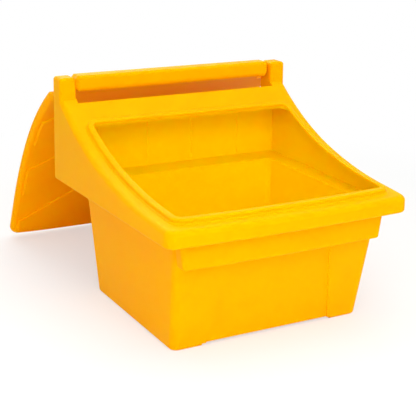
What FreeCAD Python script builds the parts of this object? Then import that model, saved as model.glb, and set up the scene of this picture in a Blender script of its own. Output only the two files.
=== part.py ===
import FreeCAD, Part
import math
import os
from FreeCAD import Vector

# A roadside bin for grit and salt. X runs to the right, the front faces -Y and Z is up.
# All sizes are in millimetres. Y is measured from the front of the collar and Z from the ground.

# Walls of both mouldings
WALL = 5.0

# Collar, the wide upper part of the body, measured at its underside
COLLAR_HALF_FRONT = 315.0
COLLAR_HALF_REAR = 332.0
COLLAR_DEPTH = 644.0
COLLAR_UNDERSIDE = 285.5
COLLAR_SIDE_DRAFT = 0.01
COLLAR_REAR_DRAFT = 0.02
COLLAR_FRONT_CORNER = 25.0
COLLAR_REAR_CORNER = 9.0
COLLAR_LOW_EDGE = 6.0
FRONT_BOW = 9.0

# Sweep of the rim from the low front to the high rear, as a straight run and two arcs along the sides
RIM_FRONT_RISE = 28.8
RIM_FRONT = COLLAR_UNDERSIDE + RIM_FRONT_RISE
RIM_RUN = 106.0
RIM_RUN_ANGLE = 4.0
FRONT_SWEEP_RADIUS = 1134.0
FRONT_SWEEP_ANGLE = 15.7
REAR_SWEEP_RADIUS = 784.0

# Rim, with its heights measured square to the sweep
SHOULDER_HEIGHT = 11.0
BEAD_RADIUS = 12.0
LIP_HEIGHT = 23.5
LIP_WIDTH = 15.0
LIP_INSET = 31.5
LIP_TOP_RADIUS = 5.0
LIP_FOOT_EDGE = 4.0
STRIP_DEPTH = 140.0
MOUTH_REAR = COLLAR_DEPTH - STRIP_DEPTH
MOUTH_CORNER = 14.0

# Tub, the tapered lower part, measured at the ground
TUB_HALF_FRONT = 255.5
TUB_HALF_REAR = 261.5
TUB_FRONT = 101.0
TUB_REAR = 535.0
TUB_SIDE_DRAFT = 0.056
TUB_FRONT_DRAFT = 0.182
TUB_REAR_DRAFT = 0.117
TUB_CORNER = 20.0
TUB_LOW_EDGE = 9.0

# Band across the front, just under the collar
BAND_HALF = 260.0
BAND_SIDE_DRAFT = 0.15
BAND_FACE = 31.3
BAND_HEIGHT = 66.0
BAND_LOW = COLLAR_UNDERSIDE - BAND_HEIGHT
BAND_BOW = 5.0
BAND_CORNER = 10.0
BAND_LOW_EDGE = 6.0

# Two skids under the tub, and the panels of its front and rear walls that are set back
SKID_WIDTH = 77.0
SKID_HEIGHT = 7.0
PANEL_DEPTH = 5.0
FRONT_PANEL_HALF = 169.0
FRONT_PANEL_LEAN = 0.14
REAR_PANEL_HALF = 218.0

# Shallow ribs down the inside of the rear wall, two on each side of the middle
NEAR_RIB = 65.0
FAR_RIB = 209.0
REAR_RIB_WIDTH = 7.0
REAR_RIB_HEIGHT = 2.0

# Posts that carry the hinge, and the gap between them, whose floor lies under the sweep at its front
POST_WIDTH = 47.0
POST_DEPTH = 57.0
POST_FRONT = COLLAR_DEPTH - POST_DEPTH
POST_HEIGHT = 104.0
POST_EDGE = 8.0
GAP_DEPTH = 67.0
GAP_FRONT = COLLAR_DEPTH - GAP_DEPTH
GAP_RECESS = 41.391

# Hinge, with its axis measured from the rear of the collar and from the top of the posts
HINGE_INSET = 24.0
HINGE_DROP = 23.0
HINGE_Y = COLLAR_DEPTH - HINGE_INSET
OPEN_ANGLE = 248.0
ROD_DIAMETER = 16.0
ROD_CLEARANCE = 0.08
FIXED_FIT = 0.02
ROD_CHAMFER = 1.0
BUSH_DIAMETER = 22.0
BUSH_LENGTH = 30.0
BUSH_SET_BACK = 1.0
ROD_END_PLAY = 0.5
PLUG_RIM = 30.0
PLUG_RIM_THICKNESS = 3.0
PLUG_EDGE = 1.0
PLUG_STEM = 8.0

# Lid, in its closed place, with its heights measured square to the sweep
LID_SIDE_OVERHANG = 23.0
LID_REAR_INSET = 3.0
LID_OVERHANG = 21.0
LID_BOW = 6.0
LID_REAR_SETBACK = 38.0
LID_REAR = HINGE_Y - LID_REAR_SETBACK
LID_FRONT_CORNER = 28.0
LID_SKIRT_EDGE = 12.5
LID_SEAT_GAP = 0.3
LID_EDGE_RADIUS = 12.0

# Raised chevron bands on the lid
BAND_RISE = 5.5
CHEVRON_PITCH = 202.0
CHEVRON_WIDTH = 102.0
CHEVRON_COUNT = 3
CHEVRON_ANGLE = 32.0
CHEVRON_MARGIN = 17.0
CHEVRON_REAR_MARGIN = 92.0
CHEVRON_REAR_LIMIT = LID_REAR - CHEVRON_REAR_MARGIN
CHEVRON_RUN = 556.0
CHEVRON_FIRST = CHEVRON_REAR_LIMIT - CHEVRON_RUN
CHEVRON_EDGE = 3.0

# Hollow knuckle of the lid between the posts, as the lid hangs open
KNUCKLE_GAP = 4.0
KNUCKLE_FRONT = 26.0
KNUCKLE_TOP = 25.0
KNUCKLE_BOTTOM = 18.0
KNUCKLE_BACK = 22.0
KNUCKLE_TOP_RADIUS = 9.0
KNUCKLE_LOW_RADIUS = 16.0
KNUCKLE_END_EDGE = 8.0
KNUCKLE_END_WALL = 10.0
WEB_THICKNESS = 8.0
WEB_LAP = 2.0

# Bevel under the two arcs of a soft edge, as a share of their radius
EASED_BEVEL = 0.7

# Room to spare for tools that cut right through
REACH = 60.0


def rounded(shape, radius, test):
    """The shape with a radius on every edge that passes the test."""
    return shape.makeFillet(radius, [edge for edge in shape.Edges if test(edge)])


def bevelled(shape, size, test):
    """The shape with every edge that passes the test cut off at an angle."""
    return shape.makeChamfer(size, [edge for edge in shape.Edges if test(edge)])


def bevel_for(radius):
    """Size of the bevel that touches an arc of one radius at its middle."""
    return radius * (2 - math.sqrt(2))


def at_height(edge, height, tolerance):
    """Whether an edge follows the rim's sweep at one height above it."""
    first, last = edge.ParameterRange
    for share in (0.1, 0.5, 0.9):
        point = edge.valueAt(first + share * (last - first))
        if abs(point.z - sweep_height(point.y, height)) > tolerance:
            return False
    return True


def eased(shape, radius, height):
    """The shape with its upper outer edges at one height above the sweep rounded, as two arcs and a flat."""
    size = EASED_BEVEL * radius
    shape = bevelled(shape, size, lambda e: at_height(e, height, 0.02) and not across(e))

    def beside_bevel(edge):
        return at_height(edge, height, 0.02) or at_height(edge, height - size, 0.2)

    return rounded(shape, radius, lambda e: beside_bevel(e) and not across(e))


def post_inner():
    """Distance from the middle to the inner side of each post."""
    return COLLAR_HALF_REAR - POST_WIDTH


def lid_halves():
    """Half widths of the lid at its front and at its rear."""
    return COLLAR_HALF_FRONT + LID_SIDE_OVERHANG, COLLAR_HALF_REAR - LID_REAR_INSET


class Tapered:
    """A form with four walls that lean as they rise from the height where its plan is measured."""

    def __init__(self, half_front, half_rear, front, rear, height, drafts, bow, corners):
        self.half_front = half_front
        self.half_rear = half_rear
        self.front = front
        self.rear = rear
        self.height = height
        self.side_draft, self.front_draft, self.rear_draft = drafts
        self.bow = bow
        self.front_corner, self.rear_corner = corners

    def inset(self, sides, front=None, rear=None, corners=None):
        """The same form with each wall moved inwards."""
        front = sides if front is None else front
        rear = sides if rear is None else rear
        half_front = self.half_at(self.front + front, self.height) - sides
        half_rear = self.half_at(self.rear - rear, self.height) - sides
        drafts = (self.side_draft, self.front_draft, self.rear_draft)
        if corners is None:
            corners = (max(self.front_corner - sides, 3.0), max(self.rear_corner - sides, 3.0))
        return Tapered(half_front, half_rear, self.front + front, self.rear - rear, self.height,
                       drafts, self.bow, corners)

    def run_on(self, length):
        """The same form carried on behind its rear, with sharp rear corners."""
        return self.inset(0, rear=-length, corners=(self.front_corner, 0))

    def half_at(self, y, z):
        """Half width at one place."""
        spread = (self.half_rear - self.half_front) / (self.rear - self.front)
        return self.half_front + spread * (y - self.front) + self.side_draft * (z - self.height)

    def corners_at(self, z):
        """Four corners of the plan at one height, before they are rounded or the front is bowed."""
        front = self.front - 2 * self.bow - self.front_draft * (z - self.height)
        rear = self.rear + self.rear_draft * (z - self.height)
        half_front = self.half_at(front, z)
        half_rear = self.half_at(rear, z)
        return [Vector(-half_front, front, z), Vector(half_front, front, z),
                Vector(half_rear, rear, z), Vector(-half_rear, rear, z)]

    def bowed(self, low, high):
        """Upright block whose front is an arc through the front corners and the bow's middle."""
        half = max(self.half_front, self.half_rear) + REACH
        radius = (self.half_front ** 2 + self.bow ** 2) / (2 * self.bow)
        side = self.front - self.bow + radius - math.sqrt(radius ** 2 - half ** 2)
        left = Vector(-half, side, low)
        right = Vector(half, side, low)
        nose = Vector(0, self.front - self.bow, low)
        edges = [Part.Arc(left, nose, right).toShape(),
                 Part.makePolygon([right, Vector(half, self.rear + REACH, low),
                                   Vector(-half, self.rear + REACH, low), left])]
        return Part.Face(Part.Wire(edges[:1] + edges[1].Edges)).extrude(Vector(0, 0, high - low))

    def solid(self, low, high):
        """The form between two heights, with its upright corners rounded."""
        under = self.corners_at(low)
        over = self.corners_at(high)
        rings = [under[::-1], over]
        for i in range(4):
            j = (i + 1) % 4
            rings.append([under[i], under[j], over[j], over[i]])
        shell = Part.Shell([Part.Face(Part.makePolygon(ring + ring[:1])) for ring in rings])
        shell.sewShape()
        solid = Part.Solid(shell)
        if self.bow:
            solid = solid.common(self.bowed(low, high))
        middle = (self.front + self.rear) / 2

        def upright(edge):
            return edge.BoundBox.ZLength > 0.9 * (high - low)

        solid = rounded(solid, self.front_corner, lambda e: upright(e) and e.BoundBox.YMax < middle)
        if not self.rear_corner:
            return solid
        return rounded(solid, self.rear_corner, lambda e: upright(e) and e.BoundBox.YMin > middle)


def box(x0, x1, y0, y1, z0, z1):
    """An upright box between two corners."""
    return Part.makeBox(x1 - x0, y1 - y0, z1 - z0, Vector(x0, y0, z0))


def extruded_across(points_or_edges):
    """A section in the YZ plane carried across the full width and more."""
    half = max(COLLAR_HALF_FRONT, COLLAR_HALF_REAR) + LID_SIDE_OVERHANG + REACH
    face = Part.Face(Part.Wire(points_or_edges))
    face.translate(Vector(-half, 0, 0))
    return face.extrude(Vector(2 * half, 0, 0))


def arc_point(centre, radius, angle):
    """Point of an arc in the YZ plane, with the angle measured from straight down towards +Y."""
    return Vector(0, centre.y + radius * math.sin(angle), centre.z - radius * math.cos(angle))


def sweep_centres():
    """Centres of the two arcs of the rim's sweep, and the angles at which the first starts and ends."""
    start = math.radians(RIM_RUN_ANGLE)
    meet = math.radians(FRONT_SWEEP_ANGLE)
    run_end = Vector(0, RIM_RUN, RIM_FRONT + RIM_RUN * math.tan(start))
    first = run_end + Vector(0, -math.sin(start), math.cos(start)) * FRONT_SWEEP_RADIUS
    step = FRONT_SWEEP_RADIUS - REAR_SWEEP_RADIUS
    second = first + Vector(0, math.sin(meet), -math.cos(meet)) * step
    return first, second, start, meet


def below(height):
    """Everything under the rim's sweep, which is moved by a height square to itself."""
    first, second, start, meet = sweep_centres()
    end = math.asin((COLLAR_DEPTH + REACH - second.y) / REAR_SWEEP_RADIUS)
    front = -LID_OVERHANG - REACH
    nose = Vector(0, front, sweep_height(front, height))
    run_end = arc_point(first, FRONT_SWEEP_RADIUS - height, start)
    half_way = arc_point(first, FRONT_SWEEP_RADIUS - height, (start + meet) / 2)
    joint = arc_point(first, FRONT_SWEEP_RADIUS - height, meet)
    rear_half_way = arc_point(second, REAR_SWEEP_RADIUS - height, (meet + end) / 2)
    rear = arc_point(second, REAR_SWEEP_RADIUS - height, end)
    return extruded_across([
        Part.makeLine(nose, run_end),
        Part.Arc(run_end, half_way, joint).toShape(),
        Part.Arc(joint, rear_half_way, rear).toShape(),
        Part.makeLine(rear, Vector(0, rear.y, -REACH)),
        Part.makeLine(Vector(0, rear.y, -REACH), Vector(0, front, -REACH)),
        Part.makeLine(Vector(0, front, -REACH), nose)])


def sweep_height(y, height):
    """Height of the moved sweep at one place along the sides."""
    first, second, start, meet = sweep_centres()
    run_end = arc_point(first, FRONT_SWEEP_RADIUS - height, start)
    joint = arc_point(first, FRONT_SWEEP_RADIUS - height, meet)
    if y < run_end.y:
        return run_end.z + (y - run_end.y) * math.tan(start)
    if y < joint.y:
        return first.z - math.sqrt((FRONT_SWEEP_RADIUS - height) ** 2 - (y - first.y) ** 2)
    return second.z - math.sqrt((REAR_SWEEP_RADIUS - height) ** 2 - (y - second.y) ** 2)


# Heights that follow the sweep: the gap's floor, the top of the posts and the hinge's axis
GAP_FLOOR = sweep_height(GAP_FRONT, SHOULDER_HEIGHT) - GAP_RECESS
POST_TOP = GAP_FLOOR + POST_HEIGHT
HINGE_Z = POST_TOP - HINGE_DROP


def collar_form():
    return Tapered(COLLAR_HALF_FRONT, COLLAR_HALF_REAR, 0, COLLAR_DEPTH, COLLAR_UNDERSIDE,
                   (-COLLAR_SIDE_DRAFT, 0, -COLLAR_REAR_DRAFT), FRONT_BOW,
                   (COLLAR_FRONT_CORNER, COLLAR_REAR_CORNER))


def tub_form():
    return Tapered(TUB_HALF_FRONT, TUB_HALF_REAR, TUB_FRONT, TUB_REAR, 0,
                   (TUB_SIDE_DRAFT, TUB_FRONT_DRAFT, TUB_REAR_DRAFT), 0, (TUB_CORNER, TUB_CORNER))


def band_form():
    rear = TUB_FRONT + TUB_CORNER
    return Tapered(BAND_HALF, BAND_HALF, BAND_FACE, rear, BAND_LOW, (BAND_SIDE_DRAFT, 0, 0), BAND_BOW,
                   (BAND_CORNER, 0))


def lip_form():
    """Plan of the lip's outer side."""
    collar = collar_form()
    rear = COLLAR_DEPTH - MOUTH_REAR - LIP_WIDTH
    corner = MOUTH_CORNER + LIP_WIDTH
    return collar.inset(LIP_INSET, rear=rear, corners=(corner, corner))


def across(edge):
    """Whether an edge is a straight one that runs squarely from side to side."""
    return edge.BoundBox.YLength < 0.01 and edge.BoundBox.XLength > COLLAR_HALF_FRONT


def collar_outside():
    """Collar with the shoulder of its rim and the raised lip, before anything is hollowed out."""
    high = sweep_height(COLLAR_DEPTH, LIP_HEIGHT) + REACH
    blank = collar_form().run_on(REACH / 2).solid(COLLAR_UNDERSIDE, high).common(below(SHOULDER_HEIGHT))
    blank = eased(blank, BEAD_RADIUS, SHOULDER_HEIGHT)
    seam = POST_FRONT + POST_EDGE + WALL
    wide = 2 * COLLAR_HALF_REAR
    front = blank.common(box(-wide, wide, -REACH, seam, 0, high))
    rear = collar_form().solid(COLLAR_UNDERSIDE, high).common(below(SHOULDER_HEIGHT))
    rear = rear.common(box(-wide, wide, seam, COLLAR_DEPTH + REACH, 0, high))
    collar = front.fuse(rear).removeSplitter()
    collar = rounded(collar, COLLAR_LOW_EDGE, lambda e: e.BoundBox.ZMax < COLLAR_UNDERSIDE + 0.01)
    lip = lip_form().solid(COLLAR_UNDERSIDE + 2 * WALL, high).common(below(LIP_HEIGHT))
    lip = rounded(lip, LIP_TOP_RADIUS, lambda e: at_height(e, LIP_HEIGHT, 0.02) and not crosses_mouth(e))
    body = collar.fuse(lip)
    return bevelled(body, LIP_FOOT_EDGE, around_lip)


def crosses_mouth(edge):
    """Whether an edge only joins the two arcs of the sweep, inside the rim."""
    return across(edge) and edge.BoundBox.YMax < MOUTH_REAR


def around_lip(edge):
    """Whether an edge is part of the foot of the lip, on the shoulder."""
    first, last = edge.ParameterRange
    plan = lip_form()
    for share in (0.1, 0.5, 0.9):
        point = edge.valueAt(first + share * (last - first))
        if abs(point.z - sweep_height(point.y, SHOULDER_HEIGHT)) > 0.02:
            return False
        if abs(point.x) > plan.half_at(point.y, point.z) + 0.01 or point.y > plan.rear + 0.01:
            return False
    return not crosses_mouth(edge)


def tub_outside():
    """Tub with its front and rear panels set back and the channel between the skids."""
    tub = tub_form().solid(0, COLLAR_UNDERSIDE + WALL)
    tub = rounded(tub, TUB_LOW_EDGE, lambda e: e.BoundBox.ZMax < 0.01)
    core = tub_form().inset(0, front=PANEL_DEPTH, rear=PANEL_DEPTH, corners=(TUB_CORNER, TUB_CORNER))
    channel = box(-skid_inner(), skid_inner(), -REACH, COLLAR_DEPTH + REACH, -REACH, SKID_HEIGHT)
    return tub.cut(panels(0).cut(core.solid(-REACH, COLLAR_UNDERSIDE + REACH))).cut(channel)


def skid_inner():
    """Distance from the middle to the inner side of each skid."""
    return TUB_HALF_FRONT - SKID_WIDTH


def panels(margin):
    """Outlines of the set-back panels, as one upright slab through each wall, grown by a margin."""
    low = -REACH
    high = COLLAR_UNDERSIDE + REACH
    middle = (TUB_FRONT + TUB_REAR) / 2
    half_low = FRONT_PANEL_HALF - FRONT_PANEL_LEAN * low + margin
    half_high = FRONT_PANEL_HALF - FRONT_PANEL_LEAN * high + margin
    corners = [Vector(-half_low, -REACH, low), Vector(half_low, -REACH, low),
               Vector(half_high, -REACH, high), Vector(-half_high, -REACH, high)]
    front = Part.Face(Part.makePolygon(corners + corners[:1])).extrude(Vector(0, middle + REACH, 0))
    half = REAR_PANEL_HALF + margin
    rear = box(-half, half, middle, COLLAR_DEPTH + REACH, low, high)
    return Part.makeCompound([front, rear])


def band_outside():
    """Band across the front, running back into the tub."""
    band = band_form().solid(BAND_LOW, COLLAR_UNDERSIDE + WALL)
    return rounded(band, BAND_LOW_EDGE, lambda e: e.BoundBox.ZMax < BAND_LOW + 0.01
                   and e.BoundBox.YMin < band_form().rear - 0.01)


def tub_inside():
    """Space inside the tub, with its floor raised between the skids and behind the set-back panels."""
    ledge = COLLAR_UNDERSIDE + WALL
    space = tub_form().inset(WALL).solid(WALL, ledge + WALL)
    space = bevelled(space, bevel_for(TUB_LOW_EDGE - WALL), lambda e: e.BoundBox.ZMax < WALL + 0.01)
    set_back = WALL + PANEL_DEPTH
    core = tub_form().inset(WALL, front=set_back, rear=set_back).solid(-REACH, ledge + REACH)
    floor = box(-skid_inner() - WALL, skid_inner() + WALL, -REACH, COLLAR_DEPTH + REACH,
                -REACH, SKID_HEIGHT + WALL)
    band = band_form().inset(WALL, rear=0).solid(BAND_LOW + WALL, ledge + WALL)
    return space.cut(panels(WALL).cut(core)).cut(floor).fuse(band)


def collar_inside():
    """Space inside the collar, under the rim, which stops short of the posts and the gap between them."""
    ledge = COLLAR_UNDERSIDE + WALL
    high = sweep_height(COLLAR_DEPTH, LIP_HEIGHT) + REACH
    space = collar_form().inset(WALL).solid(ledge, high).common(below(SHOULDER_HEIGHT - WALL))
    behind = box(-COLLAR_DEPTH, COLLAR_DEPTH, GAP_FRONT - WALL, COLLAR_DEPTH + REACH, GAP_FLOOR - WALL, high)
    under_lip = lip_form().inset(WALL).solid(ledge + WALL, high).common(below(LIP_HEIGHT - WALL))
    return space.cut(behind).fuse(under_lip)


def mouth():
    """Opening through the rim."""
    ledge = COLLAR_UNDERSIDE + 2 * WALL
    high = sweep_height(COLLAR_DEPTH, LIP_HEIGHT) + REACH
    plan = collar_form().inset(LIP_INSET + LIP_WIDTH, rear=COLLAR_DEPTH - MOUTH_REAR,
                               corners=(MOUTH_CORNER, MOUTH_CORNER))
    return plan.solid(ledge, high)


def post(side):
    """One of the two posts, solid down to the wall below it, with side -1 on the left and 1 on the right."""
    block = collar_form().solid(GAP_FLOOR - WALL, POST_TOP)
    inner = side * post_inner()
    outer = side * 2 * COLLAR_HALF_REAR
    column = box(min(inner, outer), max(inner, outer), POST_FRONT, COLLAR_DEPTH + REACH,
                 GAP_FLOOR - WALL, POST_TOP)
    block = block.common(column)
    block = rounded(block, POST_EDGE, lambda e: e.BoundBox.ZLength > POST_TOP - GAP_FLOOR
                    and e.BoundBox.YLength < COLLAR_DEPTH - POST_FRONT)
    return rounded(block, POST_EDGE, lambda e: e.BoundBox.ZMin > POST_TOP - 0.01)


def make_body():
    """The one-piece shell of the bin."""
    high = sweep_height(COLLAR_DEPTH, LIP_HEIGHT) + REACH
    gap = box(-post_inner(), post_inner(), GAP_FRONT, COLLAR_DEPTH + REACH, GAP_FLOOR, high)
    body = collar_outside().cut(gap)
    body = body.fuse([tub_outside(), band_outside()])
    inside = collar_inside().fuse([tub_inside(), mouth()])
    body = body.cut(inside)
    body = body.fuse([post(-1), post(1)])
    return body.removeSplitter()


def along_hinge(x0, x1, radius):
    """Round bar on the hinge axis between two places along it."""
    return Part.makeCylinder(radius, x1 - x0, Vector(x0, HINGE_Y, HINGE_Z), Vector(1, 0, 0))


def post_outer():
    """Distance from the middle to the outer side of a post, at the hinge axis."""
    return collar_form().half_at(HINGE_Y, HINGE_Z)


def plug_seat():
    """Where the flat seat for the plug's rim lies in the outer side of the right post."""
    return post_outer() - PLUG_RIM_THICKNESS


def bush_outer():
    """Distance from the middle to the far end of a bush."""
    return post_inner() + BUSH_SET_BACK + BUSH_LENGTH


def bore_posts(body):
    """Blind bore in the left post, and one right through the other, for the bushes and the rod."""
    radius = BUSH_DIAMETER / 2 + FIXED_FIT
    left = along_hinge(-bush_outer() - ROD_END_PLAY, -post_inner() + WALL, radius)
    right = along_hinge(post_inner() - WALL, post_outer() + REACH, radius)
    seat = along_hinge(plug_seat(), post_outer() + REACH, PLUG_RIM / 2 + FIXED_FIT)
    return body.cut([left, right, seat])


def rear_rib(x):
    """Shallow upright rib on the inside of the rear wall, with its crown rounded."""
    inner = collar_form().inset(WALL)
    low = Vector(x, inner.rear, COLLAR_UNDERSIDE + WALL)
    rise = GAP_FLOOR - WALL - low.z
    lean = Vector(0, -COLLAR_REAR_DRAFT, 1)
    half = REAR_RIB_WIDTH / 2
    radius = (half ** 2 + REAR_RIB_HEIGHT ** 2) / (2 * REAR_RIB_HEIGHT)
    centre = low + Vector(0, radius - REAR_RIB_HEIGHT, 0)
    start = Vector(x - half, low.y, low.z)
    end = Vector(x + half, low.y, low.z)
    crown = Part.Arc(start, centre - Vector(0, radius, 0), end).toShape()
    back = Part.makePolygon([end, end + Vector(0, WALL / 2, 0), start + Vector(0, WALL / 2, 0), start])
    return Part.Face(Part.Wire([crown] + back.Edges)).extrude(lean * rise)


def rear_ribs():
    """Ribs that divide the rear wall into panels."""
    return [rear_rib(x) for x in (-FAR_RIB, -NEAR_RIB, NEAR_RIB, FAR_RIB)]


def lid_form():
    half_front, half_rear = lid_halves()
    return Tapered(half_front, half_rear, -LID_OVERHANG, LID_REAR, RIM_FRONT, (0, 0, 0),
                   LID_BOW, (LID_FRONT_CORNER, 0))


def lid_under():
    """Height of the lid's underside above the sweep, just clear of the lip that it rests on."""
    return LIP_HEIGHT + LID_SEAT_GAP


def lid_slab(form, height):
    """An upright form, carried on behind its rear and cut off at a height above the sweep."""
    top = sweep_height(LID_REAR, height) + REACH
    return form.run_on(REACH / 2).solid(RIM_FRONT - REACH, top).common(below(height))


def lid_end(form):
    """Everything behind the rear of a form of the lid."""
    return box(-COLLAR_DEPTH, COLLAR_DEPTH, form.rear, COLLAR_DEPTH + 2 * REACH, 0, 2 * COLLAR_DEPTH)


def chevron(index, narrower, low, high):
    """Upright slab of one chevron band, pointing to the rear in the middle."""
    slope = math.tan(math.radians(CHEVRON_ANGLE))
    lid_half = lid_halves()[0]
    half = lid_half + REACH
    edge = lid_half - CHEVRON_MARGIN
    front = CHEVRON_FIRST + index * CHEVRON_PITCH + narrower
    rear = front + CHEVRON_WIDTH - 2 * narrower
    outer_drop = slope * (half - edge)
    middle_rise = slope * edge
    points = [Vector(-half, front - outer_drop, low), Vector(0, front + middle_rise, low),
              Vector(half, front - outer_drop, low), Vector(half, rear - outer_drop, low),
              Vector(0, rear + middle_rise, low), Vector(-half, rear - outer_drop, low)]
    return Part.Face(Part.makePolygon(points + points[:1])).extrude(Vector(0, 0, high - low))


def chevron_bands(margin, low, high):
    """The chevron bands between two heights above the sweep, kept inside a margin of the lid's edge."""
    top = sweep_height(LID_REAR, high) + REACH
    field = lid_form().inset(margin, rear=LID_REAR - CHEVRON_REAR_LIMIT + margin - CHEVRON_MARGIN)
    field = field.solid(RIM_FRONT - REACH, top)
    layer = below(high).cut(below(low))
    bands = []
    for index in range(CHEVRON_COUNT):
        slab = chevron(index, margin - CHEVRON_MARGIN, RIM_FRONT - REACH, top)
        bands += slab.common(field).common(layer).Solids
    return bands


def lid_panel():
    """The lid as it lies closed: a curved sheet with a turned-down skirt and raised chevron bands."""
    under = lid_under()
    form = lid_form()
    outer = eased(lid_slab(form, under + WALL), LID_EDGE_RADIUS, under + WALL)
    outer = outer.cut([lid_end(form), below(LID_SKIRT_EDGE)])
    form = form.inset(WALL, rear=WALL)
    inner = bevelled(lid_slab(form, under), bevel_for(LID_EDGE_RADIUS - WALL),
                     lambda e: at_height(e, under, 0.02) and not across(e))
    inner = inner.cut(lid_end(form))
    crown = under + WALL + BAND_RISE
    raised = [bevelled(band, CHEVRON_EDGE, lambda e: at_height(e, crown, 0.02) and not across(e))
              for band in chevron_bands(CHEVRON_MARGIN, under + WALL / 2, crown)]
    hollow = chevron_bands(CHEVRON_MARGIN + WALL, under - WALL, under + BAND_RISE)
    return outer.cut(inner).fuse(raised).cut(hollow)


def turned(point, angle):
    """A point of the YZ plane turned about the hinge axis."""
    y = point.y - HINGE_Y
    z = point.z - HINGE_Z
    c = math.cos(math.radians(angle))
    s = math.sin(math.radians(angle))
    return Vector(0, HINGE_Y + c * y - s * z, HINGE_Z + s * y + c * z)


def web_face(x):
    """Section of the web from the knuckle's lower rear corner to the root of the open lid."""
    outer = sweep_height(LID_REAR, lid_under() + WALL)
    under = sweep_height(LID_REAR, lid_under() - WEB_LAP)
    root = turned(Vector(0, LID_REAR - WEB_LAP, outer - WEB_LAP), -OPEN_ANGLE)
    back = turned(Vector(0, LID_REAR - WEB_LAP, under), -OPEN_ANGLE)
    front = HINGE_Y + KNUCKLE_BACK - WEB_THICKNESS - KNUCKLE_LOW_RADIUS / 2
    low = HINGE_Z - KNUCKLE_BOTTOM
    points = [Vector(0, front, low + WALL), Vector(0, front, low), root, back,
              Vector(0, HINGE_Y + KNUCKLE_BACK, low + WALL)]
    face = Part.Face(Part.makePolygon(points + points[:1]))
    face.translate(Vector(x, 0, 0))
    return face


def knuckle():
    """Hollow bar of the lid that turns between the posts, with the web that joins it to the panel."""
    end = post_inner() - KNUCKLE_GAP

    def lengthwise(edge):
        return edge.BoundBox.XLength > 2 * end - 0.01

    bar = box(-end, end, HINGE_Y - KNUCKLE_FRONT, HINGE_Y + KNUCKLE_BACK,
              HINGE_Z - KNUCKLE_BOTTOM, HINGE_Z + KNUCKLE_TOP)
    bar = rounded(bar, KNUCKLE_TOP_RADIUS, lambda e: lengthwise(e) and e.BoundBox.ZMin > HINGE_Z)
    bar = rounded(bar, KNUCKLE_LOW_RADIUS,
                  lambda e: lengthwise(e) and e.BoundBox.ZMax < HINGE_Z and e.BoundBox.YMax < HINGE_Y)
    bar = bevelled(bar, KNUCKLE_END_EDGE, lambda e: not lengthwise(e))
    web_end = end - KNUCKLE_END_EDGE
    web = web_face(-web_end).extrude(Vector(2 * web_end, 0, 0))
    inner_end = end - KNUCKLE_END_WALL
    hollow = box(-inner_end, inner_end, HINGE_Y - KNUCKLE_FRONT + WALL, HINGE_Y + KNUCKLE_BACK - WALL,
                 HINGE_Z - KNUCKLE_BOTTOM + WALL, HINGE_Z + KNUCKLE_TOP - WALL)
    hollow = rounded(hollow, KNUCKLE_LOW_RADIUS - WALL,
                     lambda e: e.BoundBox.XLength > inner_end and e.BoundBox.ZMax < HINGE_Z
                     and e.BoundBox.YMax < HINGE_Y)
    bore = along_hinge(-end - WALL, end + WALL, ROD_DIAMETER / 2 + FIXED_FIT)
    return bar.fuse(web), hollow.fuse(bore)


def make_lid():
    """The one-piece lid, hanging open behind the body."""
    panel = lid_panel()
    panel.rotate(Vector(0, HINGE_Y, HINGE_Z), Vector(1, 0, 0), -OPEN_ANGLE)
    bar, hollow = knuckle()
    return panel.fuse(bar).cut(hollow).removeSplitter()


def make_rod():
    """Steel rod, fast in the knuckle, with both ends turning in the bushes."""
    length_end = bush_outer()
    rod = along_hinge(-length_end, length_end, ROD_DIAMETER / 2)
    return bevelled(rod, ROD_CHAMFER, lambda e: e.Curve.TypeId == "Part::GeomCircle")


def make_bush(side):
    """Plain bearing bush in a post's bore, with side -1 on the left and 1 on the right."""
    near = side * (post_inner() + BUSH_SET_BACK)
    far = side * bush_outer()
    low, high = min(near, far), max(near, far)
    return along_hinge(low, high, BUSH_DIAMETER / 2).cut(
        along_hinge(low - WALL, high + WALL, ROD_DIAMETER / 2 + ROD_CLEARANCE))


def make_plug():
    """Plug that closes the bore in the outer side of the right post."""
    rim = along_hinge(plug_seat(), post_outer(), PLUG_RIM / 2)
    rim = bevelled(rim, PLUG_EDGE, lambda e: e.BoundBox.XMin > post_outer() - 0.01)
    return rim.fuse(along_hinge(plug_seat() - PLUG_STEM, plug_seat(), BUSH_DIAMETER / 2))


def main():
    """Builds every piece, puts the origin on the ground under the middle of the whole and saves them."""
    pieces = {
        "bin_body": bore_posts(make_body()).fuse(rear_ribs()).removeSplitter(),
        "lid": make_lid(),
        "hinge_rod": make_rod(),
        "hinge_bush_left": make_bush(-1),
        "hinge_bush_right": make_bush(1),
        "rod_end_plug": make_plug(),
    }
    whole = Part.makeCompound(list(pieces.values())).optimalBoundingBox(False)
    origin = Vector((whole.XMin + whole.XMax) / 2, (whole.YMin + whole.YMax) / 2, whole.ZMin)
    print("origin", origin, "hinge", Vector(0, HINGE_Y, HINGE_Z) - origin)
    os.makedirs("parts", exist_ok=True)
    for name, shape in pieces.items():
        shape.translate(-origin)
        shape.exportStep(f"parts/{name}.step")
        print(name, shape.isValid(), len(shape.Solids), round(shape.Volume))


main()
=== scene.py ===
"""A small moulded roadside bin for grit and salt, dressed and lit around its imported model."""

import math

import bpy
from bpy.props import FloatProperty, FloatVectorProperty, PointerProperty
from mathutils import Matrix, Vector

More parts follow.
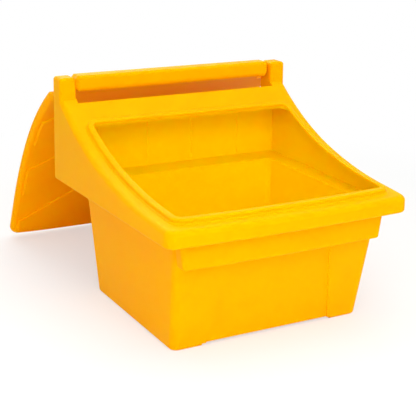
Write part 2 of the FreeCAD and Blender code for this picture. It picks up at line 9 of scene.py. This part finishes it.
bl_info = {
    "name": "Grit salt bin",
    "version": (1, 0, 0),
    "blender": (4, 5, 0),
    "location": "3D View > Sidebar > Grit bin",
    "description": "Finishes, light and camera of a moulded grit bin",
    "category": "Object",
}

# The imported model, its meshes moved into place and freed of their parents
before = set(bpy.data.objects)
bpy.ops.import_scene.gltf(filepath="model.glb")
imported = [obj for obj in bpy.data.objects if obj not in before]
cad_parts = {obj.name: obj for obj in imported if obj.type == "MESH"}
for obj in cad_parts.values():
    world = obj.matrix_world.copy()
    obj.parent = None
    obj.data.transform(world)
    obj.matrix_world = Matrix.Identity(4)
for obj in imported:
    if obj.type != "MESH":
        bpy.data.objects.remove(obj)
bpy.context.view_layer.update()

MM = 0.001


def linear(code):
    """Linear colour, with its alpha, of an sRGB hex value such as F9A800."""
    channels = [int(code[i:i + 2], 16) / 255 for i in (0, 2, 4)]
    return tuple(c / 12.92 if c <= 0.04045 else ((c + 0.055) / 1.055) ** 2.4 for c in channels) + (1.0,)


def add_node(tree, kind, settings=None, links=None):
    """Adds one node. Settings are by attribute or by socket, and links go from a source to a socket."""
    made = tree.nodes.new(kind)
    for name, value in (settings or {}).items():
        if isinstance(name, str) and hasattr(made, name):
            setattr(made, name, value)
        else:
            made.inputs[name].default_value = value
    for name, source in (links or {}).items():
        tree.links.new(source, made.inputs[name])
    return made


def new_material(name):
    """An empty material with its output, and its tree."""
    material = bpy.data.materials.new(name)
    material.use_nodes = True
    material.node_tree.nodes.clear()
    return material, material.node_tree, add_node(material.node_tree, "ShaderNodeOutputMaterial")


def noise(tree, place, size, detail):
    """Soft irregular pattern of one size, and its value."""
    made = add_node(tree, "ShaderNodeTexNoise", {"Scale": 1 / size, "Detail": detail}, {"Vector": place})
    return made.outputs["Fac"]


def two_tone(tree, amount, first, second):
    """Colour that goes from the first to the second as the amount rises. The first may be a socket."""
    made = add_node(tree, "ShaderNodeMix", {"data_type": "RGBA"}, {0: amount})
    if isinstance(first, bpy.types.NodeSocket):
        tree.links.new(first, made.inputs[6])
    else:
        made.inputs[6].default_value = first
    made.inputs[7].default_value = second
    return made.outputs[2]


def bump(tree, depth, links):
    """Normal that follows a pattern as a relief of one depth."""
    made = add_node(tree, "ShaderNodeBump", {"Strength": 1.0, "Distance": depth}, links)
    return made.outputs["Normal"]


def dress(node_name, material):
    """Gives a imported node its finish."""
    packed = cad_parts[node_name]
    packed.data.materials.clear()
    packed.data.materials.append(material)
    return packed


def rotomoulded_polyethylene(settings):
    """Rotationally moulded medium-density polyethylene, in golden yellow.

    The powder melts against a blasted steel mould, so the skin has a fine grain and broad shallow ripples
    where it shrank. It is satin, and light that enters it comes out again more orange. Where the skin lies
    enclosed, as inside the bin, its colour is painted paler: painted light that lifts the shade in the
    hollows.
    """
    material, tree, output = new_material("rotomoulded_polyethylene")
    place = add_node(tree, "ShaderNodeTexCoord").outputs["Object"]
    ripple = noise(tree, place, settings.ripple_size, 1.5)
    grain = noise(tree, place, settings.grain_size, 3.0)
    cloud = noise(tree, place, settings.cloud_size, 2.0)
    outside = two_tone(tree, cloud, (*settings.colour_deep, 1.0), (*settings.colour_light, 1.0))
    # Painted light: how enclosed the skin lies picks a paler colour, painted where shade would fall in the
    # hollows
    openness = add_node(tree, "ShaderNodeAmbientOcclusion",
                        {"samples": 8, "only_local": True, "Distance": settings.hollow_reach})
    inside = add_node(tree, "ShaderNodeMapRange",
                      {"From Min": settings.hollow_start, "From Max": settings.hollow_full},
                      {"Value": openness.outputs["AO"]})
    colour = two_tone(tree, inside.outputs["Result"], outside, (*settings.painted_light_colour, 1.0))
    gloss = add_node(tree, "ShaderNodeMapRange",
                     {"To Min": settings.gloss_low, "To Max": settings.gloss_high}, {"Value": ripple})
    waves = bump(tree, settings.ripple_depth, {"Height": ripple})
    skin = bump(tree, settings.grain_depth, {"Height": grain, "Normal": waves})
    shader = add_node(
        tree, "ShaderNodeBsdfPrincipled",
        {"IOR": 1.51, "Specular IOR Level": settings.reflection, "Specular Tint": linear("FFC400"),
         "Subsurface Weight": settings.translucency, "Subsurface Radius": (1.0, 0.3, 0.02),
         "Subsurface Scale": settings.light_depth},
        {"Base Color": colour, "Roughness": gloss.outputs["Result"], "Normal": skin})
    tree.links.new(shader.outputs[0], output.inputs["Surface"])
    return material


def galvanised_steel(settings):
    """Hot-dip galvanised steel rod: dull grey zinc in overlapping crystals, each with its own sheen."""
    material, tree, output = new_material("galvanised_steel")
    place = add_node(tree, "ShaderNodeTexCoord").outputs["Object"]
    crystal = add_node(tree, "ShaderNodeTexVoronoi", {"Scale": 1 / settings.crystal_size},
                       {"Vector": place})
    shade = add_node(tree, "ShaderNodeSeparateColor", {}, {"Color": crystal.outputs["Color"]})
    colour = two_tone(tree, shade.outputs[0], linear("A3A8AB"), (*settings.steel_colour, 1.0))
    gloss = add_node(tree, "ShaderNodeMapRange", {"To Min": 0.32, "To Max": 0.5},
                     {"Value": shade.outputs[1]})
    shader = add_node(tree, "ShaderNodeBsdfPrincipled", {"Metallic": 1.0},
                      {"Base Color": colour, "Roughness": gloss.outputs["Result"]})
    tree.links.new(shader.outputs[0], output.inputs["Surface"])
    return material


def natural_nylon(settings):
    """Turned natural nylon: milky, with fine rings from the tool and a dull sheen."""
    material, tree, output = new_material("natural_nylon")
    place = add_node(tree, "ShaderNodeTexCoord").outputs["Object"]
    # At scale 1 the bands of a wave texture run through 20 radians in a metre
    rings = add_node(tree, "ShaderNodeTexWave",
                     {"bands_direction": "X", "Scale": 2 * math.pi / (20 * settings.turning_pitch),
                      "Distortion": 0.4},
                     {"Vector": place})
    colour = two_tone(tree, rings.outputs["Fac"], linear("D9D5C6"), (*settings.nylon_colour, 1.0))
    relief = bump(tree, settings.turning_depth, {"Height": rings.outputs["Fac"]})
    shader = add_node(tree, "ShaderNodeBsdfPrincipled",
                      {"IOR": 1.53, "Roughness": 0.42, "Subsurface Weight": 0.3,
                       "Subsurface Radius": (1.0, 0.9, 0.7), "Subsurface Scale": 0.002},
                      {"Base Color": colour, "Normal": relief})
    tree.links.new(shader.outputs[0], output.inputs["Surface"])
    return material


class GRITBIN_PG_plastic(bpy.types.PropertyGroup):
    """Sizes and colours of the moulded plastic."""

    colour_light: FloatVectorProperty(
        name="Light colour", description="Colour of the plastic where the pigment is thinnest",
        subtype="COLOR", size=3, min=0, max=1, default=linear("FFAE00")[:3])
    colour_deep: FloatVectorProperty(
        name="Deep colour", description="Colour of the plastic where the pigment is densest",
        subtype="COLOR", size=3, min=0, max=1, default=linear("FFA600")[:3])
    # Painted light: the paler colour painted into the hollows in place of their shade
    painted_light_colour: FloatVectorProperty(
        name="Inside colour", description="Colour of the skin that never touched the mould",
        subtype="COLOR", size=3, min=0, max=1, default=linear("FFD400")[:3])
    # Where the painted light in the hollows starts and how far it reaches
    hollow_reach: FloatProperty(
        name="Hollow", description="Distance across which a hollow counts as the inside",
        unit="LENGTH", default=1.0)
    hollow_start: FloatProperty(
        name="Hollow start", description="Openness at which the skin starts to turn to the inside colour",
        subtype="FACTOR", min=0, max=1, default=0.56)
    hollow_full: FloatProperty(
        name="Hollow full", description="Openness at which the skin has all of the inside colour",
        subtype="FACTOR", min=0, max=1, default=0.32)
    reflection: FloatProperty(
        name="Reflection", description="Strength of the satin reflection, toned down to match the photograph",
        subtype="FACTOR", min=0, max=1, default=0.03)
    translucency: FloatProperty(
        name="Translucency", description="Share of the light that enters the plastic",
        subtype="FACTOR", min=0, max=1, default=0.8)
    light_depth: FloatProperty(
        name="Light depth", description="How far red light spreads in the plastic",
        unit="LENGTH", default=11 * MM)
    ripple_size: FloatProperty(
        name="Ripple", description="Distance between the broad shallow waves of the moulded skin",
        unit="LENGTH", default=32 * MM)
    ripple_depth: FloatProperty(
        name="Ripple depth", description="Depth of the broad waves", unit="LENGTH", default=0.12 * MM)
    grain_size: FloatProperty(
        name="Grain", description="Grain of the blasted mould, drawn coarse enough to show",
        unit="LENGTH", default=1.6 * MM)
    grain_depth: FloatProperty(
        name="Grain depth", description="Depth of the grain", unit="LENGTH", default=0.04 * MM)
    cloud_size: FloatProperty(
        name="Cloud", description="Distance between lighter and deeper patches of pigment",
        unit="LENGTH", default=120 * MM)
    gloss_low: FloatProperty(
        name="Lowest roughness", description="Roughness on the crests of the ripples",
        subtype="FACTOR", min=0, max=1, default=0.36)
    gloss_high: FloatProperty(
        name="Highest roughness", description="Roughness in the hollows of the ripples",
        subtype="FACTOR", min=0, max=1, default=0.5)


class GRITBIN_PG_hinge(bpy.types.PropertyGroup):
    """Sizes and colours of the hinge's fittings."""

    steel_colour: FloatVectorProperty(
        name="Zinc", description="Colour of the brightest zinc crystals",
        subtype="COLOR", size=3, min=0, max=1, default=linear("C3C7C9")[:3])
    crystal_size: FloatProperty(
        name="Crystal", description="Width of the zinc crystals", unit="LENGTH", default=5 * MM)
    nylon_colour: FloatVectorProperty(
        name="Nylon", description="Colour of the bushes",
        subtype="COLOR", size=3, min=0, max=1, default=linear("ECE8DA")[:3])
    turning_pitch: FloatProperty(
        name="Turning pitch", description="Distance between the tool's rings, drawn coarse enough to show",
        unit="LENGTH", default=3.77 * MM)
    turning_depth: FloatProperty(
        name="Turning depth", description="Depth of the tool's rings", unit="LENGTH", default=0.03 * MM)


class GRITBIN_PG_stage(bpy.types.PropertyGroup):
    """Light and floor of the studio."""

    floor_colour: FloatVectorProperty(
        name="Floor", description="Colour of the pale floor",
        subtype="COLOR", size=3, min=0, max=1, default=linear("F0F0EE")[:3])
    near_white: FloatProperty(
        name="Near white", description="Share of plain white in the floor close to the bin, seen directly",
        subtype="FACTOR", min=0, max=1, default=0.5)
    fade_start: FloatProperty(
        name="Fade start", description="Distance at which the floor starts to turn white",
        unit="LENGTH", default=0.9)
    fade_end: FloatProperty(
        name="Fade end", description="Distance at which the floor is as white as its surroundings",
        unit="LENGTH", default=1.8)
    surround: FloatProperty(
        name="Surround", description="Strength of the even light from all round", min=0, default=0.5)
    overhead: FloatProperty(
        name="Overhead", description="Power of the soft box overhead", unit="POWER", default=47)
    key: FloatProperty(
        name="Key", description="Power of the soft box above the camera", unit="POWER", default=18)
    low: FloatProperty(
        name="Low", description="Power of the low soft box in front, which reaches under the rear strip",
        unit="POWER", default=20)
    left: FloatProperty(
        name="Left", description="Power of the soft box on the left", unit="POWER", default=6)
    back: FloatProperty(
        name="Back", description="Power of the soft box behind, which shines through the open lid",
        unit="POWER", default=55)


class GRITBIN_OT_body(bpy.types.Operator):
    """Finishes the moulded body."""

    bl_idname = "gritbin.body"
    bl_label = "Body"

    def execute(self, context):
        material = rotomoulded_polyethylene(context.scene.gritbin_plastic)
        dress("bin_body", material)
        return {"FINISHED"}


class GRITBIN_OT_lid(bpy.types.Operator):
    """Finishes the moulded lid."""

    bl_idname = "gritbin.lid"
    bl_label = "Lid"

    def execute(self, context):
        dress("lid", bpy.data.materials["rotomoulded_polyethylene"])
        return {"FINISHED"}


class GRITBIN_OT_hinge(bpy.types.Operator):
    """Finishes the hinge rod, its two bushes and its plug."""

    bl_idname = "gritbin.hinge"
    bl_label = "Hinge"

    def execute(self, context):
        settings = context.scene.gritbin_hinge
        dress("hinge_rod", galvanised_steel(settings))
        nylon = natural_nylon(settings)
        dress("hinge_bush_left", nylon)
        dress("hinge_bush_right", nylon)
        dress("rod_end_plug", bpy.data.materials["rotomoulded_polyethylene"])
        return {"FINISHED"}


def seen_directly(tree):
    """Whether a ray comes from the camera, a reflection or something clear."""
    path = add_node(tree, "ShaderNodeLightPath")
    seen = add_node(tree, "ShaderNodeMath", {"operation": "MAXIMUM"},
                    {0: path.outputs["Is Camera Ray"], 1: path.outputs["Is Glossy Ray"]})
    seen = add_node(tree, "ShaderNodeMath", {"operation": "MAXIMUM"},
                    {0: seen.outputs[0], 1: path.outputs["Is Transmission Ray"]})
    return seen.outputs[0]


def soft_box(name, power, width, height, place, aim):
    """A large rectangular lamp that faces a point."""
    lamp = bpy.data.lights.new(name, "AREA")
    lamp.shape = "RECTANGLE"
    lamp.size = width
    lamp.size_y = height
    lamp.energy = power
    held = bpy.data.objects.new(name, lamp)
    held.location = place
    held.rotation_euler = (Vector(aim) - Vector(place)).to_track_quat("-Z", "Y").to_euler()
    bpy.context.scene.collection.objects.link(held)


class GRITBIN_OT_stage(bpy.types.Operator):
    """Sets out the floor, the light and the camera."""

    bl_idname = "gritbin.stage"
    bl_label = "Stage"

    # The photograph's frame in pixels, and its view of the bin
    FRAME_SIDE = 416
    FOCAL_PIXELS = 1027.75
    CENTRE_PIXELS = (207.54, 208.11)
    AZIMUTH = -28.11
    ELEVATION = 17.31
    ROLL = 0.65
    CAMERA_PLACE = (-1.19304, -2.34047, 1.01094)
    FLOOR_HALF = 40.0

    def execute(self, context):
        settings = context.scene.gritbin_stage
        self.lay_floor(settings)
        self.light(context, settings)
        self.place_camera(context)
        context.scene.view_settings.view_transform = "Standard"
        return {"FINISHED"}

    def lay_floor(self, settings):
        """A wide pale floor under the bin, which turns white with distance where it is seen directly."""
        material, tree, output = new_material("pale_floor")
        shader = add_node(tree, "ShaderNodeBsdfPrincipled",
                          {"Base Color": (*settings.floor_colour, 1.0), "Roughness": 0.9,
                           "Specular IOR Level": 0.0})
        place = add_node(tree, "ShaderNodeTexCoord").outputs["Object"]
        distance = add_node(tree, "ShaderNodeVectorMath", {"operation": "LENGTH"}, {0: place})
        far = add_node(tree, "ShaderNodeMapRange",
                       {"interpolation_type": "SMOOTHSTEP", "From Min": settings.fade_start,
                        "From Max": settings.fade_end, "To Min": settings.near_white},
                       {"Value": distance.outputs["Value"]})
        seen = add_node(tree, "ShaderNodeMath", {"operation": "MULTIPLY"},
                        {0: far.outputs["Result"], 1: seen_directly(tree)})
        white = add_node(tree, "ShaderNodeEmission", {"Color": (1, 1, 1, 1), "Strength": 1.0})
        mixed = add_node(tree, "ShaderNodeMixShader", {},
                         {0: seen.outputs[0], 1: shader.outputs[0], 2: white.outputs[0]})
        tree.links.new(mixed.outputs[0], output.inputs["Surface"])
        mesh = bpy.data.meshes.new("floor")
        side = self.FLOOR_HALF
        corners = [(-side, -side, 0), (side, -side, 0), (side, side, 0), (-side, side, 0)]
        mesh.from_pydata(corners, [], [(0, 1, 2, 3)])
        mesh.materials.append(material)
        floor = bpy.data.objects.new("floor", mesh)
        bpy.context.scene.collection.objects.link(floor)

    def light(self, context, settings):
        """Even light from all round, with soft boxes overhead, in front, on the left and behind."""
        world = bpy.data.worlds.new("studio")
        context.scene.world = world
        world.use_nodes = True
        tree = world.node_tree
        tree.nodes.clear()
        even = add_node(tree, "ShaderNodeBackground",
                        {"Color": (1, 1, 1, 1), "Strength": settings.surround})
        white = add_node(tree, "ShaderNodeBackground", {"Color": (1, 1, 1, 1), "Strength": 1.0})
        mixed = add_node(tree, "ShaderNodeMixShader", {},
                         {0: seen_directly(tree), 1: even.outputs[0], 2: white.outputs[0]})
        add_node(tree, "ShaderNodeOutputWorld", {}, {"Surface": mixed.outputs[0]})
        aim = (0, 0, 0.3)
        soft_box("overhead_box", settings.overhead, 3.0, 3.0, (0.3, -0.6, 3.2), aim)
        soft_box("key_box", settings.key, 1.6, 0.8, (-0.6, -1.9, 1.5), aim)
        soft_box("low_box", settings.low, 1.6, 0.8, (-0.5, -2.7, 0.75), aim)
        soft_box("left_box", settings.left, 1.0, 1.0, (-1.7, -1.0, 1.4), (0.25, 0.0, 0.35))
        soft_box("back_box", settings.back, 3.0, 2.5, (0.0, 3.2, 2.6), aim)

    def place_camera(self, context):
        """The camera at the photograph's place and angle."""
        data = bpy.data.cameras.new("camera")
        data.sensor_width = 36.0
        data.lens = self.FOCAL_PIXELS / self.FRAME_SIDE * data.sensor_width
        data.shift_x = (self.FRAME_SIDE / 2 - self.CENTRE_PIXELS[0]) / self.FRAME_SIDE
        data.shift_y = (self.CENTRE_PIXELS[1] - self.FRAME_SIDE / 2) / self.FRAME_SIDE
        data.clip_end = 200.0
        camera = bpy.data.objects.new("camera", data)
        turn, rise, roll = (math.radians(a) for a in (self.AZIMUTH, self.ELEVATION, self.ROLL))
        back = Vector((math.sin(turn) * math.cos(rise), -math.cos(turn) * math.cos(rise), math.sin(rise)))
        level = Vector((math.cos(turn), math.sin(turn), 0))
        upright = back.cross(level)
        right = level * math.cos(roll) + upright * math.sin(roll)
        up = back.cross(right)
        axes = Matrix((right, up, back)).transposed().to_4x4()
        camera.matrix_world = Matrix.Translation(self.CAMERA_PLACE) @ axes
        context.scene.collection.objects.link(camera)
        context.scene.camera = camera


class GRITBIN_PT_panel(bpy.types.Panel):
    """Lists the bin's pieces and its stage."""

    bl_label = "Grit salt bin"
    bl_idname = "GRITBIN_PT_panel"
    bl_space_type = "VIEW_3D"
    bl_region_type = "UI"
    bl_category = "Grit bin"

    def draw(self, context):
        for operator in OPERATORS:
            self.layout.operator(operator.bl_idname)
        for group in ("gritbin_plastic", "gritbin_hinge", "gritbin_stage"):
            settings = getattr(context.scene, group)
            for name in settings.__annotations__:
                self.layout.prop(settings, name)


GROUPS = {
    "gritbin_plastic": GRITBIN_PG_plastic,
    "gritbin_hinge": GRITBIN_PG_hinge,
    "gritbin_stage": GRITBIN_PG_stage,
}
OPERATORS = (GRITBIN_OT_body, GRITBIN_OT_lid, GRITBIN_OT_hinge, GRITBIN_OT_stage)
CLASSES = (*GROUPS.values(), *OPERATORS, GRITBIN_PT_panel)


def register():
    for each in CLASSES:
        bpy.utils.register_class(each)
    for name, group in GROUPS.items():
        setattr(bpy.types.Scene, name, PointerProperty(type=group))


def unregister():
    for name in GROUPS:
        delattr(bpy.types.Scene, name)
    for each in reversed(CLASSES):
        bpy.utils.unregister_class(each)


def main():
    """Dresses the bin and sets its stage."""
    register()
    bpy.ops.gritbin.body()
    bpy.ops.gritbin.lid()
    bpy.ops.gritbin.hinge()
    bpy.ops.gritbin.stage()


if __name__ == "__main__":
    main()
